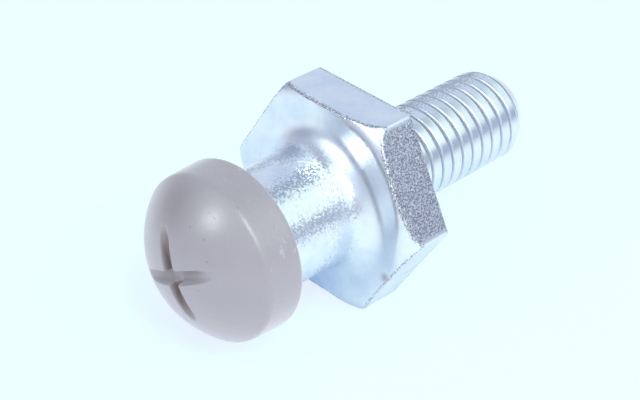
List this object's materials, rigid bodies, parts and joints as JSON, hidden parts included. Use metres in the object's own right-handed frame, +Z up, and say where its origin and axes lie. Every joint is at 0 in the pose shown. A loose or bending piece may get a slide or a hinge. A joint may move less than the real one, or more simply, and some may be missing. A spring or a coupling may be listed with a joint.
{
  "type": "clutch fork ball stud",
  "caption": "Threaded steel ball stud with a hexagon, a filleted neck and a clip-on domed plastic bearing cap with crossed grease grooves, on which a clutch fork pivots.",
  "frame": {"origin": "on the stud's axis, in the plane of the hexagon's bearing face, where the thread begins", "axes": "+X along the thread, away from the cap; +Z up, square to the hexagon's upper flat"},
  "size_m": [0.0371, 0.0196, 0.017],
  "materials": {
    "zinc_steel": "bright blue-white zinc plating over cold-formed steel",
    "cap_plastic": "satin moulded grey plastic"
  },
  "bodies": {
    "stud": {"ball_stud": "zinc_steel"},
    "cap": {"bearing_cap": "cap_plastic"}
  },
  "joints": [
    {"name": "cap_turn", "type": "hinge", "parent": "stud", "child": "cap", "pos_m": [-0.0153, 0, 0], "axis": [1, 0, 0], "continuous": true}
  ]
}
